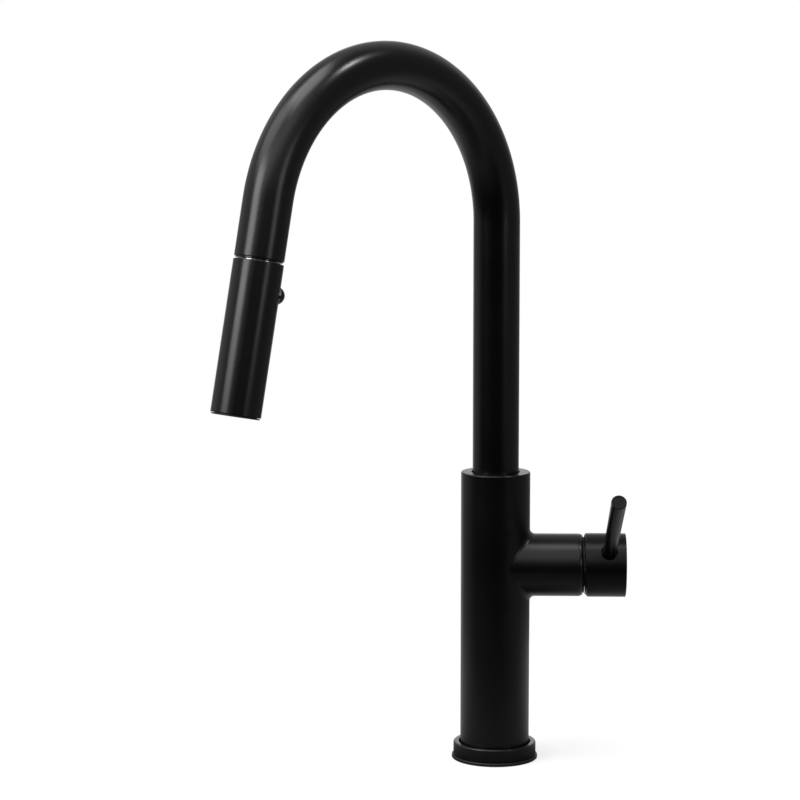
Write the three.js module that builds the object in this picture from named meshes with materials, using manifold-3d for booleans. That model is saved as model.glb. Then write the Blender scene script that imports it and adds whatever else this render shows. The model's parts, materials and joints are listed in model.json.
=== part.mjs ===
// Deck-mounted single-lever mixer with a gooseneck spout and a pull-down spray head.
// Millimetres, +Z up. The origin is on the column's axis, in the plane of the deck.
// +X runs along the side branch to the handle, and -Y points to the person using it.

import * as THREE from 'three';
import { mergeVertices } from 'three/addons/utils/BufferGeometryUtils.js';
import Module from 'manifold-3d';

const wasm = await Module();
wasm.setup();

const { degToRad } = THREE.MathUtils;

// ---- driving dimensions ----

const GAP = 0.3;                 // clearance between neighbouring pieces
const FINE = 36;                 // segments round a large visible piece
const TUBE = 24;                 // segments round the spout tube
const MEDIUM = 20;               // segments round a large hidden piece
const COARSE = 12;               // segments round a small piece

const COLUMN_R = 21;
const COLUMN_BORE_R = 18.5;
const COLUMN_TOP = 177;
const COLUMN_CHAMFER = 0.8;
const COLLAR_HOLE_R = 14.7;      // hole in the column's top that the spout tube passes through
const COLLAR_UNDERSIDE = 173;

const GASKET_R = 26.2;
const GASKET_INNER_R = 17;
const GASKET_TOP = 2;
const RING_R = 25.2;
const RING_INNER_R = 21.9;
const RING_TOP = 10.2;

const RETAINER_Z = 154;          // the screw that keeps the spout in the column
const RETAINER_R = 2.4;
const CIRCLIP_TOP = 140.7;
const BUSH_R = COLUMN_BORE_R - GAP;
const MANIFOLD_SCREW_Z = 6.2;
const MANIFOLD_SCREW_R = 1.7;

const BRANCH_Z = 119.8;
const BRANCH_R = 19.04;
const BRANCH_BORE_R = 16.3;
const BRANCH_END = 52.9;
const BRANCH_ROUNDING = 3;

const HUB_R = 19.33;
const HUB_BORE_R = 17.4;
const HUB_START = 54.1;
const HUB_BOSS_START = 60.5;
const HUB_END = 79.05;
const HUB_RELIEF_OFFSET = 1.28;  // how far the relief cone's axis is shifted towards the lever
const HUB_RELIEF_LEAST = 0.15;   // chamfer left on the lever's side

const HUB_SCREW_R = 2.4;
const HUB_SCREW_X = 63.6;

const LEVER_ELEVATION = degToRad(34);
const LEVER_LEAN = degToRad(1.7);
const LEVER_X = 68;
const LEVER_TIP = 91.3;          // distance from the branch's axis
const LEVER_ROOT_R = 4.05;
const LEVER_TIP_R = 4.53;
const LEVER_STUD_R = 3;
const LEVER_SOCKET_R = 5.1;
const LEVER_SOCKET_FLOOR = 15;   // distance from the branch's axis

const TUBE_R = 14;
const TUBE_BORE_R = 12.8;
const SPIGOT_R = TUBE_R - 2 * GAP;
const TUBE_FOOT = 161;
const ARCH_Z = 328;
const ARCH_R = 93.1;
const ARCH_STEP = 6;             // degrees between sections of the tube
const ARCH_SWEEP = 168;          // degrees
const TUBE_STRAIGHT = 32.5;      // straight length after the arch
const SPOUT_AZIMUTH = 46.5;      // degrees from -X towards -Y

const HOSE_R = 7;
const HOSE_FOOT = 1;
const HOSE_END = 26;             // along the head's axis, from the end of the arch

const HEAD_R = 14.1;
const HEAD_BORE_R = 12.3;
const DOCK_END = 33.3;           // along the head's axis, from the end of the arch
const HEAD_TOP = 34.2;
const HEAD_BOTTOM = 119.3;
const FACE_BOTTOM = 120.3;
const INSERT_R = HEAD_BORE_R - GAP;

const BUTTON_S = 51;             // the button's place along the head's axis
const BUTTON_TURN = 31.5;        // degrees round the head from the side that faces the column
const BUTTON_R = 4.45;
const BUTTON_HOLE_R = 5.3;
const BUTTON_RIM_R = BUTTON_HOLE_R - GAP;
const BUTTON_POCKET_R = 4.9;
const BUTTON_POCKET_FLOOR = 9.9;
const SPOOL_R = 3;
const SPOOL_BORE_R = 3.3;
const SPOOL_BORE_END = -10.5;

const PIPE_R = 2.6;
const PIPE_BORE_R = 1.9;
const PIPE_SOCKET_R = PIPE_R + GAP;
const PIPE_CIRCLE_R = 13.5;
const PIPE_FOOT = 12.3;
const PIPE_TOP = 110.7;
const SUPPLY_PORT_R = 3.4;
const MANIFOLD_BOTTOM = 2.6;
const MANIFOLD_TOP = 18;
const STUD_HOLE_R = 2.6;

const VALVE_BODY_R = 16;
const VALVE_BODY_START = 7.6;
const CUP_R = 13.2;
const CUP_FLOOR = 19;
const CUP_END = 48.5;
const WATERWAY_R = 2;
const OUTLET_PORT_DROP = 6.5;    // outlet port's distance below the branch's axis

const PIVOT_X = 38;              // the stem's pivot, along the branch
const BALL_X = 32.2;             // the stem's ball, along the branch
const CARTRIDGE_R = 12.8;
const CARTRIDGE_BORE_R = 11.4;
const DISC_R = 8.6;
const PIN_R = 1.2;
const STEM_R = 3.4;
const STEM_SQUARE = 6;
const STEM_END = 66;            // along the branch

// Where the three waterways cross the column, as angles round its axis.
const PIPE_ANGLE = { hot: 34, outlet: 0, cold: -34 };

// ---- materials ----

const FINISH = {
  mattBlack: { color: 0x1a1a1b, roughness: 0.45, metalness: 0.2 },
  columnBlack: { color: 0x161617, roughness: 0.55, metalness: 0.2 },
  polished: { color: 0xc9cbce, roughness: 0.15, metalness: 1 },
  steel: { color: 0xa7a9ac, roughness: 0.35, metalness: 1 },
  brass: { color: 0xb5975a, roughness: 0.35, metalness: 1 },
  magnet: { color: 0x55575b, roughness: 0.4, metalness: 0.8 },
  ceramic: { color: 0xe6e2da, roughness: 0.25, metalness: 0 },
  blackPlastic: { color: 0x1d1d1e, roughness: 0.35, metalness: 0 },
  palePlastic: { color: 0xd8d6cf, roughness: 0.5, metalness: 0 },
  rubber: { color: 0x202021, roughness: 0.8, metalness: 0 },
  braid: { color: 0x2b2b2d, roughness: 0.7, metalness: 0 },
};

// ---- geometry helpers ----

function signedVolume(geometry) {
  const { array } = geometry.attributes.position;
  const { array: index } = geometry.index;
  const corners = [new THREE.Vector3(), new THREE.Vector3(), new THREE.Vector3()];
  let volume = 0;
  for (let i = 0; i < index.length; i += 3) {
    corners.forEach((corner, k) => corner.fromArray(array, 3 * index[i + k]));
    volume += corners[0].dot(corners[1].cross(corners[2])) / 6;
  }
  return volume;
}

// One closed body: shared vertices merged, no needle triangles, faces pointing out.
function solid(geometry) {
  geometry.deleteAttribute('normal');
  geometry.deleteAttribute('uv');
  const merged = mergeVertices(geometry, 1e-4);
  const source = merged.index.array;
  const kept = [];
  for (let i = 0; i < source.length; i += 3) {
    const [a, b, c] = [source[i], source[i + 1], source[i + 2]];
    if (a !== b && b !== c && c !== a) {
      kept.push(a, b, c);
    }
  }
  merged.setIndex(kept);
  if (signedVolume(merged) < 0) {
    for (let i = 0; i < kept.length; i += 3) {
      [kept[i], kept[i + 1]] = [kept[i + 1], kept[i]];
    }
    merged.setIndex(kept);
  }
  merged.computeVertexNormals();
  return merged;
}

// A solid of revolution about Z from [radius, height] pairs. A profile that stays off the axis is a ring.
function turned(profile, segments = MEDIUM) {
  const points = profile.map(([r, z]) => new THREE.Vector2(r, z));
  const onAxis = profile[0][0] === 0 && profile.at(-1)[0] === 0;
  if (!onAxis) {
    points.push(points[0].clone());
  }
  return solid(new THREE.LatheGeometry(points, segments).rotateX(Math.PI / 2));
}

function rod(radius, from, to, segments = COARSE) {
  return turned([[0, from], [radius, from], [radius, to], [0, to]], segments);
}

function ring(inner, outer, from, to, segments = MEDIUM) {
  return turned([[inner, from], [outer, from], [outer, to], [inner, to]], segments);
}

function polygon(radius, sides) {
  return Array.from({ length: sides }, (_, i) => {
    const angle = (2 * Math.PI * i) / sides;
    return new THREE.Vector2(radius * Math.cos(angle), radius * Math.sin(angle));
  });
}

function asManifold(geometry) {
  return new wasm.Manifold(new wasm.Mesh({
    numProp: 3,
    vertProperties: new Float32Array(geometry.attributes.position.array),
    triVerts: new Uint32Array(geometry.index.array),
  }));
}

function asGeometry(manifold) {
  const { vertProperties, triVerts } = manifold.getMesh();
  const geometry = new THREE.BufferGeometry();
  geometry.setAttribute('position', new THREE.BufferAttribute(vertProperties, 3));
  geometry.setIndex(new THREE.BufferAttribute(triVerts, 1));
  geometry.computeVertexNormals();
  return geometry;
}

function cut(body, ...tools) {
  return asGeometry(tools.reduce((left, tool) => left.subtract(asManifold(tool)), asManifold(body)));
}

function joined(body, ...others) {
  return asGeometry(others.reduce((left, other) => left.add(asManifold(other)), asManifold(body)));
}

function common(body, other) {
  return asGeometry(asManifold(body).intersect(asManifold(other)));
}

// A path through given stations, so that a straight run is one step of an extrusion.
class StationPath extends THREE.Curve {
  constructor(stations) {
    super();
    this.stations = stations;
  }

  at(u) {
    return this.stations[Math.round(u * (this.stations.length - 1))];
  }

  getPoint(u, target = new THREE.Vector3()) {
    return target.copy(this.at(u).point);
  }

  getPointAt(u, target) {
    return this.getPoint(u, target);
  }

  getTangentAt(u, target = new THREE.Vector3()) {
    return target.copy(this.at(u).tangent);
  }
}

// Up the column's axis, over the arch and down the straight stretch, in the spout's own XZ plane.
function gooseneckPath(foot, straight) {
  const up = new THREE.Vector3(0, 0, 1);
  const stations = [{ point: new THREE.Vector3(0, 0, foot), tangent: up }];
  for (let degrees = 0; degrees <= ARCH_SWEEP; degrees += ARCH_STEP) {
    const a = degToRad(degrees);
    stations.push({
      point: new THREE.Vector3(ARCH_R * (1 - Math.cos(a)), 0, ARCH_Z + ARCH_R * Math.sin(a)),
      tangent: new THREE.Vector3(Math.sin(a), 0, Math.cos(a)),
    });
  }
  const last = stations.at(-1);
  stations.push({
    point: last.point.clone().addScaledVector(last.tangent, straight),
    tangent: last.tangent,
  });
  return new StationPath(stations);
}

function swept(section, path) {
  return solid(new THREE.ExtrudeGeometry(section, {
    steps: path.stations.length - 1,
    extrudePath: path,
  }));
}

function add(group, name, geometry, finish) {
  const mesh = new THREE.Mesh(geometry, new THREE.MeshStandardMaterial(finish));
  mesh.name = name;
  group.add(mesh);
}

// Turns a piece built about Z so that it lies along +Y.
function alongY(geometry) {
  return geometry.rotateX(-Math.PI / 2);
}

// Turns a piece built about Z so that it lies along +X.
function alongX(geometry) {
  return geometry.rotateY(Math.PI / 2);
}

function pipeCentre(angle) {
  const a = degToRad(angle);
  return [PIPE_CIRCLE_R * Math.cos(a), PIPE_CIRCLE_R * Math.sin(a)];
}

// A grub screw from tip to socket end, about Z, with a hex socket in its outer end.
function grubScrew(radius, tip, end) {
  const socket = new THREE.ExtrudeGeometry(new THREE.Shape(polygon(radius * 0.58, 6)), {
    depth: radius * 1.5,
    bevelEnabled: false,
  });
  const shank = turned([
    [0, tip], [radius * 0.6, tip], [radius, tip + radius * 0.4], [radius, end], [0, end],
  ], COARSE);
  return cut(shank, solid(socket).translate(0, 0, end - radius));
}

// ---- base and column: fixed to the deck ----

function bodyShell() {
  const column = turned([
    [COLUMN_BORE_R, GASKET_TOP + GAP],
    [COLUMN_R, GASKET_TOP + GAP],
    [COLUMN_R, COLUMN_TOP - COLUMN_CHAMFER],
    [COLUMN_R - COLUMN_CHAMFER, COLUMN_TOP],
    [COLLAR_HOLE_R, COLUMN_TOP],
    [COLLAR_HOLE_R, COLLAR_UNDERSIDE],
    [COLUMN_BORE_R, COLLAR_UNDERSIDE],
    [COLUMN_BORE_R, CIRCLIP_TOP + GAP],
    [COLUMN_BORE_R + 0.6, CIRCLIP_TOP + GAP],
    [COLUMN_BORE_R + 0.6, CIRCLIP_TOP - 1 - GAP],
    [COLUMN_BORE_R, CIRCLIP_TOP - 1 - GAP],
  ], FINE);
  const roundedEnd = [30, 60, 90].map((degrees) => {
    const a = degToRad(degrees);
    return [
      BRANCH_R - BRANCH_ROUNDING * (1 - Math.cos(a)) / 2,
      BRANCH_END - BRANCH_ROUNDING * (1 - Math.sin(a)),
    ];
  });
  const branch = alongX(turned([
    [0, 0], [BRANCH_R, 0], [BRANCH_R, BRANCH_END - BRANCH_ROUNDING], ...roundedEnd, [0, BRANCH_END],
  ], FINE)).translate(0, 0, BRANCH_Z);
  const branchBore = alongX(rod(BRANCH_BORE_R, 0, BRANCH_END + 1, FINE)).translate(0, 0, BRANCH_Z);
  const columnBore = rod(COLUMN_BORE_R, BRANCH_Z - 25, CIRCLIP_TOP - 1 - GAP, FINE);
  const retainerHole = alongY(rod(RETAINER_R + GAP, 15, 25)).translate(0, 0, RETAINER_Z);
  const screwHole = alongY(rod(MANIFOLD_SCREW_R + GAP, -25, 25)).translate(0, 0, MANIFOLD_SCREW_Z);
  return cut(joined(column, branch), columnBore, branchBore, retainerHole, screwHole);
}

function baseManifold() {
  const blank = ring(HOSE_R + 0.6, COLUMN_BORE_R - GAP, MANIFOLD_BOTTOM, MANIFOLD_TOP);
  const ports = Object.values(PIPE_ANGLE).flatMap((angle) => {
    const [x, y] = pipeCentre(angle);
    return [
      rod(SUPPLY_PORT_R, MANIFOLD_BOTTOM - 1, 9).translate(x, y, 0),
      rod(WATERWAY_R, 8, 13).translate(x, y, 0),
      rod(PIPE_SOCKET_R, PIPE_FOOT - GAP, MANIFOLD_TOP + 1).translate(x, y, 0),
    ];
  });
  const studHoles = [145, 215].map((angle) => {
    const [x, y] = pipeCentre(angle);
    return rod(STUD_HOLE_R, MANIFOLD_BOTTOM - 1, 14).translate(x, y, 0);
  });
  const screwSeats = [[-20, -16], [16, 20]].map(([from, to]) => (
    alongY(rod(MANIFOLD_SCREW_R + GAP, from, to)).translate(0, 0, MANIFOLD_SCREW_Z)
  ));
  return cut(blank, ...ports, ...studHoles, ...screwSeats);
}

function valveBody() {
  const block = rod(VALVE_BODY_R, VALVE_BODY_START, CUP_END, MEDIUM);
  const cup = rod(CUP_R, CUP_FLOOR, CUP_END + 1, MEDIUM);
  const placed = [block, cup].map((piece) => alongX(piece).translate(0, 0, BRANCH_Z));
  const waterways = Object.entries(PIPE_ANGLE).flatMap(([name, angle]) => {
    const [x, y] = pipeCentre(angle);
    const portZ = BRANCH_Z - (name === 'outlet' ? OUTLET_PORT_DROP : 0);
    return [
      rod(PIPE_SOCKET_R, BRANCH_Z - VALVE_BODY_R - 1, PIPE_TOP + GAP).translate(x, y, 0),
      rod(PIPE_BORE_R, PIPE_TOP, portZ + WATERWAY_R / 2).translate(x, y, 0),
      alongX(rod(WATERWAY_R, x - 1, CUP_FLOOR + 1)).translate(0, y, portZ),
    ];
  });
  return cut(placed[0], placed[1], ...waterways);
}

// An internal circlip with a gap at its back.
function circlip() {
  const hoop = ring(16, COLUMN_BORE_R + GAP, CIRCLIP_TOP - 1, CIRCLIP_TOP);
  const opening = new THREE.BoxGeometry(5, 8, 4).translate(0, 17.5, CIRCLIP_TOP);
  return cut(hoop, solid(opening));
}

function fixedPieces() {
  const group = new THREE.Group();
  add(group, 'base_gasket', turned([
    [GASKET_INNER_R, 0],
    [GASKET_R - 0.4, 0],
    [GASKET_R, 0.4],
    [GASKET_R, GASKET_TOP - 0.4],
    [GASKET_R - 0.4, GASKET_TOP],
    [GASKET_INNER_R, GASKET_TOP],
  ], FINE), FINISH.rubber);
  add(group, 'base_ring', turned([
    [RING_INNER_R, GASKET_TOP + GAP],
    [RING_R, GASKET_TOP + GAP],
    [RING_R, RING_TOP - 1],
    [RING_R - 0.3, RING_TOP - 0.3],
    [RING_R - 1, RING_TOP],
    [RING_INNER_R, RING_TOP],
  ], FINE), FINISH.mattBlack);
  add(group, 'body_shell', bodyShell(), FINISH.columnBlack);
  add(group, 'base_manifold', baseManifold(), FINISH.brass);
  for (const [name, turn] of [['manifold_screw_back', 0], ['manifold_screw_front', Math.PI]]) {
    const screw = alongY(grubScrew(MANIFOLD_SCREW_R, 16.4, 20.6)).rotateZ(turn);
    add(group, name, screw.translate(0, 0, MANIFOLD_SCREW_Z), FINISH.steel);
  }
  for (const [name, angle] of Object.entries(PIPE_ANGLE)) {
    const [x, y] = pipeCentre(angle);
    const pipe = ring(PIPE_BORE_R, PIPE_R, PIPE_FOOT, PIPE_TOP, COARSE).translate(x, y, 0);
    add(group, `${name}_pipe`, pipe, FINISH.brass);
  }
  add(group, 'valve_body', valveBody(), FINISH.brass);
  add(group, 'bush_circlip', circlip(), FINISH.steel);
  add(group, 'lower_bush', ring(SPIGOT_R + GAP, BUSH_R, 141, 147), FINISH.palePlastic);
  const sleeve = ring(SPIGOT_R + 0.8, BUSH_R, 147.3, 160.7);
  const sleeveHole = alongY(rod(RETAINER_R + GAP, 10, 22)).translate(0, 0, RETAINER_Z);
  add(group, 'swivel_sleeve', cut(sleeve, sleeveHole), FINISH.brass);
  add(group, 'upper_bush', ring(TUBE_R + GAP, BUSH_R, TUBE_FOOT, COLLAR_UNDERSIDE - GAP), FINISH.palePlastic);
  add(group, 'spout_retaining_screw', alongY(grubScrew(RETAINER_R, 12.2, 20.4))
    .translate(0, 0, RETAINER_Z), FINISH.steel);
  return group;
}

// ---- cartridge and handle ----

// A group whose Z runs out along the branch and whose X points the way the lever does.
function handleFrame() {
  const branch = new THREE.Group();
  branch.position.set(0, 0, BRANCH_Z);
  branch.rotation.y = Math.PI / 2;
  const turnedToLever = new THREE.Group();
  turnedToLever.rotation.z = Math.atan2(-Math.cos(LEVER_ELEVATION), -Math.sin(LEVER_ELEVATION));
  branch.add(turnedToLever);
  return { branch, inner: turnedToLever };
}

// The three water ports, through pieces that lie on the branch's axis.
function portTools(from, to) {
  const [, hotY] = pipeCentre(PIPE_ANGLE.hot);
  const centres = [[0, hotY], [0, -hotY], [OUTLET_PORT_DROP, 0]];
  return centres.map(([x, y]) => rod(WATERWAY_R, from, to).translate(x, y, 0));
}

function cartridgeFixed(branch) {
  const portedDisc = (radius, from, to) => (
    cut(rod(radius, from, to, MEDIUM), ...portTools(from - 1, to + 1))
  );
  add(branch, 'cartridge_seal', portedDisc(12, CUP_FLOOR + GAP, 20.3), FINISH.rubber);
  add(branch, 'cartridge_base', portedDisc(CARTRIDGE_R, 20.6, 23.6), FINISH.palePlastic);
  add(branch, 'fixed_disc', portedDisc(CARTRIDGE_BORE_R - GAP, 23.9, 26.4), FINISH.ceramic);
  add(branch, 'cartridge_housing', turned([
    [CARTRIDGE_BORE_R, 23.9],
    [CARTRIDGE_R, 23.9],
    [CARTRIDGE_R, 44],
    [8.5, 44],
    [8.5, 42.3],
    [CARTRIDGE_BORE_R, 42.3],
  ]), FINISH.palePlastic);
  const nutShape = new THREE.Shape(polygon(CUP_R - GAP, MEDIUM));
  nutShape.holes.push(new THREE.Path(polygon(9.6, 6)));
  const nut = new THREE.ExtrudeGeometry(nutShape, { depth: 4.2, bevelEnabled: false });
  add(branch, 'retaining_nut', solid(nut.translate(0, 0, 44.3)), FINISH.brass);
  add(branch, 'bonnet_ring', turned([
    [13.4, CUP_END + GAP],
    [VALVE_BODY_R, CUP_END + GAP],
    [VALVE_BODY_R, BRANCH_END + GAP],
    [17, BRANCH_END + GAP],
    [17, BRANCH_END + GAP + 0.6],
    [13.4, BRANCH_END + GAP + 0.6],
  ], FINE), FINISH.blackPlastic);
}

function cartridgeMoving(inner) {
  const pinHole = alongY(rod(PIN_R + GAP, -15, 15)).translate(0, 0, PIVOT_X);
  add(inner, 'cartridge_rotor', cut(ring(5.9, CARTRIDGE_BORE_R - GAP, 34.3, 42), pinHole),
    FINISH.blackPlastic);
  add(inner, 'pivot_pin', alongY(rod(PIN_R, -10.4, 10.4)).translate(0, 0, PIVOT_X), FINISH.steel);
  const groove = rod(2.2, 26, 28).translate(3.5, 0, 0);
  add(inner, 'moving_disc', cut(rod(DISC_R, 26.7, 29.2, MEDIUM), groove), FINISH.ceramic);
  add(inner, 'disc_carrier', ring(2.6, DISC_R, 29.5, 34), FINISH.blackPlastic);

  const ball = [-60, -30, 0, 30].map((degrees) => {
    const a = degToRad(degrees);
    return [2.2 * Math.cos(a), BALL_X + 2.2 * Math.sin(a)];
  });
  const shank = turned([
    [0, BALL_X - 2.2], ...ball, [1.6, 34.2], [STEM_R, 35.4], [STEM_R, 46], [0, 46],
  ], COARSE);
  const square = solid(new THREE.BoxGeometry(STEM_SQUARE, STEM_SQUARE, STEM_END - 45))
    .translate(0, 0, (STEM_END + 45) / 2);
  add(inner, 'cartridge_stem', cut(joined(shank, square), pinHole), FINISH.brass);
}

// Places a piece built about Z on the lever's axis, in the handle's frame.
function leverPlaced(geometry) {
  return geometry.rotateY(Math.PI / 2 - LEVER_LEAN).translate(0, 0, LEVER_X);
}

function handleHub() {
  const blank = turned([
    [0, HUB_START], [HUB_R, HUB_START], [HUB_R, HUB_END - 0.4], [HUB_R - 0.4, HUB_END], [0, HUB_END],
  ], FINE);
  const bore = rod(HUB_BORE_R, HUB_START - 1, HUB_BOSS_START, FINE);
  const reliefR = HUB_R - HUB_RELIEF_OFFSET - HUB_RELIEF_LEAST;
  const relief = turned([
    [0, HUB_START - 1], [reliefR - 1, HUB_START - 1], [reliefR + 8, HUB_START + 8],
    [reliefR + 8, HUB_END + 1], [0, HUB_END + 1],
  ], FINE).translate(HUB_RELIEF_OFFSET, 0, 0);
  const squareHole = solid(new THREE.BoxGeometry(STEM_SQUARE + 2 * GAP, STEM_SQUARE + 2 * GAP, 7))
    .translate(0, 0, STEM_END + GAP - 3.5);
  const leverHole = leverPlaced(joined(
    rod(LEVER_STUD_R + GAP, 8, LEVER_SOCKET_FLOOR + 1),
    rod(LEVER_SOCKET_R, LEVER_SOCKET_FLOOR, HUB_R + 3),
  ));
  const screwHole = alongX(rod(HUB_SCREW_R + GAP, -HUB_R - 1, -1)).translate(0, 0, HUB_SCREW_X);
  return cut(common(blank, relief), bore, squareHole, leverHole, screwHole);
}

function handleMoving(inner) {
  add(inner, 'handle_hub', handleHub(), FINISH.columnBlack);
  add(inner, 'lever_rod', leverPlaced(turned([
    [0, 8 + GAP],
    [LEVER_STUD_R, 8 + GAP],
    [LEVER_STUD_R, LEVER_SOCKET_FLOOR + GAP],
    [LEVER_ROOT_R, LEVER_SOCKET_FLOOR + GAP],
    [LEVER_TIP_R, LEVER_TIP - 0.3],
    [LEVER_TIP_R - 0.3, LEVER_TIP],
    [0, LEVER_TIP],
  ])), FINISH.columnBlack);
  const inward = (geometry) => geometry.rotateY(-Math.PI / 2).translate(0, 0, HUB_SCREW_X);
  add(inner, 'hub_grub_screw', inward(grubScrew(HUB_SCREW_R, 3.4, 12)), FINISH.steel);
  add(inner, 'hub_screw_plug', inward(rod(HUB_SCREW_R, 12.4, HUB_R - 0.4)), FINISH.blackPlastic);
}

// ---- spout and spray head ----

function tubeSection() {
  const section = new THREE.Shape(polygon(TUBE_R, TUBE));
  section.holes.push(new THREE.Path(polygon(TUBE_BORE_R, TUBE)));
  return section;
}

function spoutPieces(spout, head) {
  add(spout, 'spout_tube', swept(tubeSection(), gooseneckPath(TUBE_FOOT, TUBE_STRAIGHT)),
    FINISH.mattBlack);
  add(spout, 'spout_spigot', turned([
    [8, 141.6],
    [SPIGOT_R, 141.6],
    [SPIGOT_R, 143.2],
    [12.2, 143.2],
    [12.2, 145.8],
    [SPIGOT_R, 145.8],
    [SPIGOT_R, RETAINER_Z - 3.2],
    [11.6, RETAINER_Z - 3.2],
    [11.6, RETAINER_Z + 3.2],
    [SPIGOT_R, RETAINER_Z + 3.2],
    [SPIGOT_R, TUBE_FOOT - GAP],
    [TUBE_BORE_R - GAP, TUBE_FOOT - GAP],
    [TUBE_BORE_R - GAP, COLUMN_TOP - 1],
    [8, COLUMN_TOP - 1],
  ]), FINISH.brass);
  add(spout, 'friction_ring', ring(12.5, SPIGOT_R, 143.5, 145.5), FINISH.rubber);
  const hoseSection = new THREE.Shape(polygon(HOSE_R, 12));
  add(spout, 'pull_out_hose', swept(hoseSection, gooseneckPath(HOSE_FOOT, HOSE_END)), FINISH.braid);
  add(head, 'dock_magnet', ring(9.5, TUBE_BORE_R - GAP, 5, 11.7), FINISH.magnet);
  add(head, 'dock_socket', turned([
    [9.6, 12],
    [TUBE_BORE_R - GAP, 12],
    [TUBE_BORE_R - GAP, TUBE_STRAIGHT + GAP],
    [13.3, TUBE_STRAIGHT + GAP],
    [13.3, DOCK_END],
    [9.6, DOCK_END],
  ], FINE), FINISH.blackPlastic);
}

function hoseEndPieces(head) {
  add(head, 'hose_ferrule', ring(HOSE_R + GAP, 7.7, 14, HOSE_END), FINISH.steel);
  add(head, 'hose_swivel_nut', ring(4, 7.6, HOSE_END + GAP, 35.9), FINISH.brass);
  add(head, 'check_valve', ring(1.8, 3.7, HOSE_END + 1, 35, COARSE), FINISH.palePlastic);
}

// Places a piece built about Z on the button's axis, in the head's frame.
function buttonPlaced(geometry) {
  return geometry.rotateY(Math.PI / 2).rotateZ(degToRad(BUTTON_TURN)).translate(0, 0, BUTTON_S);
}

function diverterBody() {
  const blank = turned([
    [9.3, 38.3],
    [INSERT_R, 38.3],
    [INSERT_R, 109.7],
    [10.5, 109.7],
    [10.5, 88],
    [6, 88],
    [6, 100],
    [3, 100],
    [3, 44.6],
    [9.3, 44.6],
  ]);
  const spoolBore = rod(SPOOL_BORE_R, SPOOL_BORE_END, 15);
  const pocket = rod(BUTTON_POCKET_R, BUTTON_POCKET_FLOOR, 15);
  const sprayWay = rod(1.5, BUTTON_S, 89).translate(-7.5, 0, 0).rotateZ(degToRad(BUTTON_TURN));
  return cut(blank, buttonPlaced(spoolBore), buttonPlaced(pocket), sprayWay);
}

// A coil of round wire about Z.
class Helix extends THREE.Curve {
  constructor(radius, from, to, turns) {
    super();
    Object.assign(this, { radius, from, to, turns });
  }

  getPoint(t, target = new THREE.Vector3()) {
    const angle = 2 * Math.PI * this.turns * t;
    return target.set(
      this.radius * Math.cos(angle),
      this.radius * Math.sin(angle),
      this.from + (this.to - this.from) * t,
    );
  }
}

function headPieces(head) {
  add(head, 'inlet_collar', turned([
    [8, 14],
    [8.9, 14],
    [8.9, DOCK_END + GAP],
    [INSERT_R, DOCK_END + GAP],
    [INSERT_R, 38],
    [9, 38],
    [9, 44.3],
    [4, 44.3],
    [4, 37.3],
    [8, 37.3],
  ]), FINISH.polished);
  add(head, 'dock_keeper_ring', ring(8, 9.2, 12.3, 13.7), FINISH.steel);
  add(head, 'inlet_washer', ring(4.2, 7.6, 36.2, 37, COARSE), FINISH.rubber);
  const shell = ring(HEAD_BORE_R, HEAD_R, HEAD_TOP, HEAD_BOTTOM, FINE);
  add(head, 'head_shell', cut(shell, buttonPlaced(rod(BUTTON_HOLE_R, 5, 20, MEDIUM))),
    FINISH.mattBlack);
  add(head, 'diverter_body', diverterBody(), FINISH.palePlastic);
  add(head, 'aerator_housing', ring(6.2, 7, 100.3, 119), FINISH.palePlastic);
  add(head, 'aerator_screen', rod(5.9, 116.2, 117, MEDIUM), FINISH.steel);
  add(head, 'nozzle_plate', ring(7.3, 10.6, 114.5, 118.8), FINISH.rubber);
  add(head, 'face_ring', turned([
    [10.9, 110],
    [INSERT_R, 110],
    [INSERT_R, HEAD_BOTTOM + GAP],
    [13.5, HEAD_BOTTOM + GAP],
    [13.5, FACE_BOTTOM],
    [10.9, FACE_BOTTOM],
  ], FINE), FINISH.blackPlastic);
  add(head, 'button_rim', buttonPlaced(ring(BUTTON_R + 0.2, BUTTON_RIM_R, 12.3, 14.2)),
    FINISH.polished);
  const coil = new THREE.ExtrudeGeometry(new THREE.Shape(polygon(0.35, 6)), {
    steps: 40,
    extrudePath: new Helix(2.3, SPOOL_BORE_END + 0.7, -5.7, 3.5),
  });
  add(head, 'button_spring', buttonPlaced(solid(coil)), FINISH.steel);
}

function buttonPieces(head) {
  add(head, 'push_button', buttonPlaced(turned([
    [0, 12.2], [BUTTON_R, 12.2], [BUTTON_R, 14.6],
    [3.9, 15.44], [3.2, 16.1], [2.2, 16.71], [1.1, 17.08], [0, 17.2],
  ])), FINISH.blackPlastic);
  add(head, 'diverter_spool', buttonPlaced(turned([
    [0, -5],
    [SPOOL_R, -5],
    [SPOOL_R, -1.5],
    [1.8, -1.5],
    [1.8, 1.5],
    [SPOOL_R, 1.5],
    [SPOOL_R, 11.9],
    [0, 11.9],
  ], COARSE)), FINISH.palePlastic);
}

// ---- assembly ----

function faucet() {
  const assembly = new THREE.Group();
  assembly.add(fixedPieces());

  const { branch, inner } = handleFrame();
  cartridgeFixed(branch);
  cartridgeMoving(inner);
  handleMoving(inner);
  assembly.add(branch);

  const spout = new THREE.Group();
  spout.rotation.z = Math.PI + degToRad(SPOUT_AZIMUTH);
  const head = new THREE.Group();
  const sweep = degToRad(ARCH_SWEEP);
  head.position.set(ARCH_R * (1 - Math.cos(sweep)), 0, ARCH_Z + ARCH_R * Math.sin(sweep));
  head.rotation.y = sweep;
  spout.add(head);
  spoutPieces(spout, head);
  hoseEndPieces(head);
  headPieces(head);
  buttonPieces(head);
  assembly.add(spout);
  return assembly;
}

export default faucet();
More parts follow.
